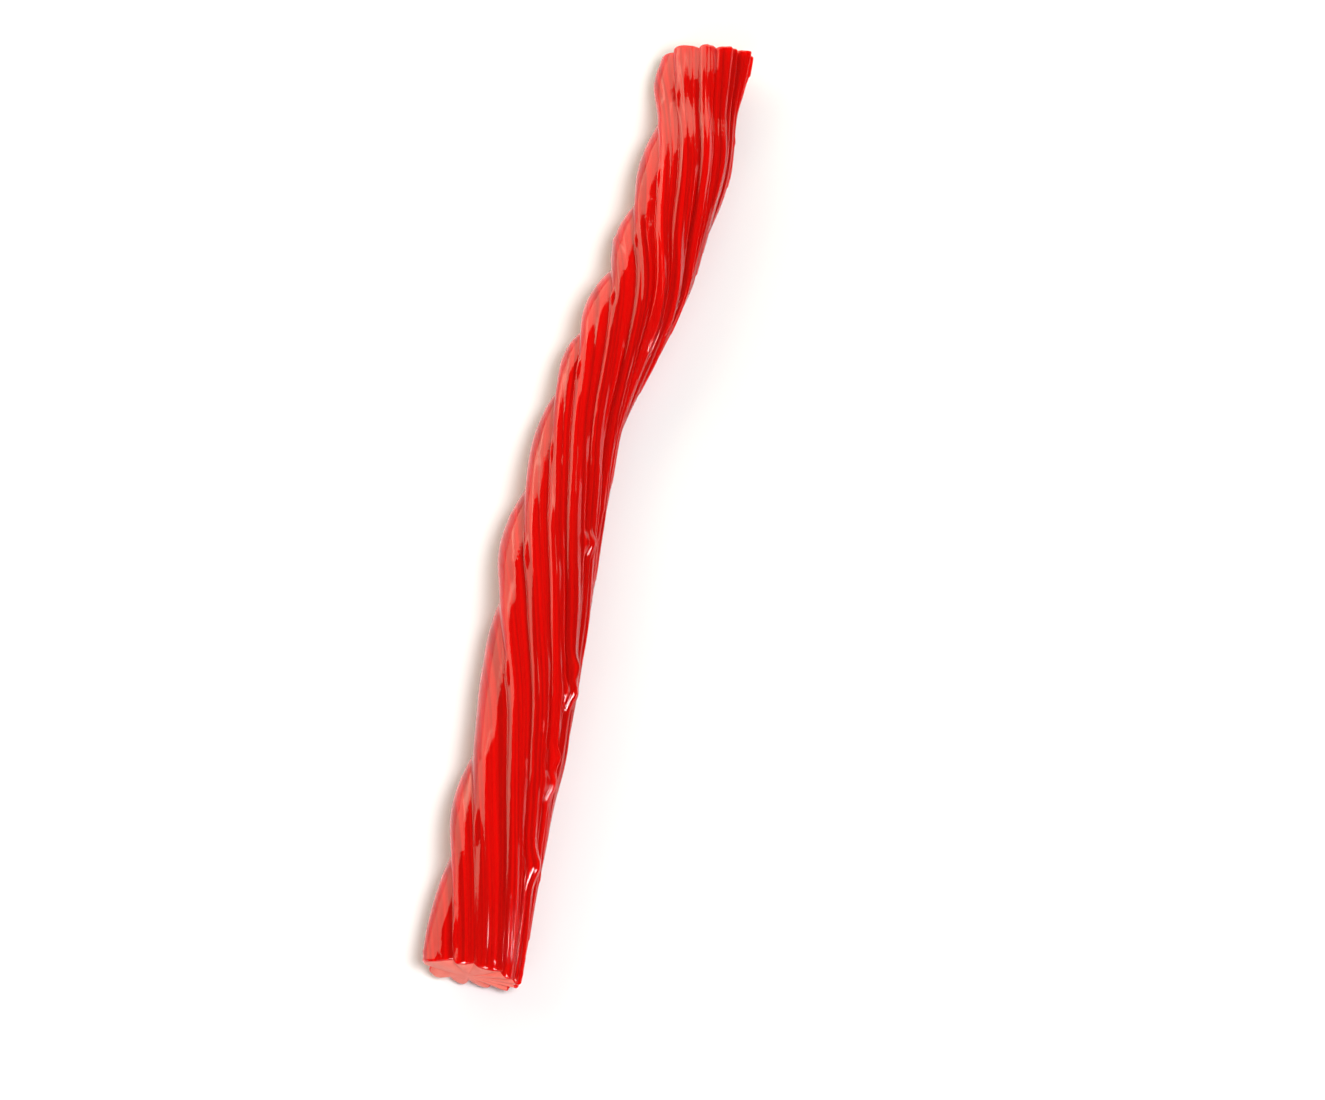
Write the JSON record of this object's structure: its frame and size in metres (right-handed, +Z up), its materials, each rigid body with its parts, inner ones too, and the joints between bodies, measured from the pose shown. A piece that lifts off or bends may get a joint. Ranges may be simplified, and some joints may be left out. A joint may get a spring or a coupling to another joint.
{
  "type": "red licorice twist",
  "caption": "Red licorice twist, a solid ridged rope of candy with one slow left-handed turn and pinched, cut ends.",
  "frame": {"origin": "on the surface it lies on, below the middle of the twist's bounding box", "axes": "+X along the twist, from the end whose cut face shows towards the other end; +Z up from the surface it lies on"},
  "size_m": [0.1316, 0.0162, 0.0103],
  "materials": {
    "red_licorice": "gloss"
  },
  "bodies": {
    "root": {"licorice_twist": "red_licorice"}
  },
  "joints": []
}
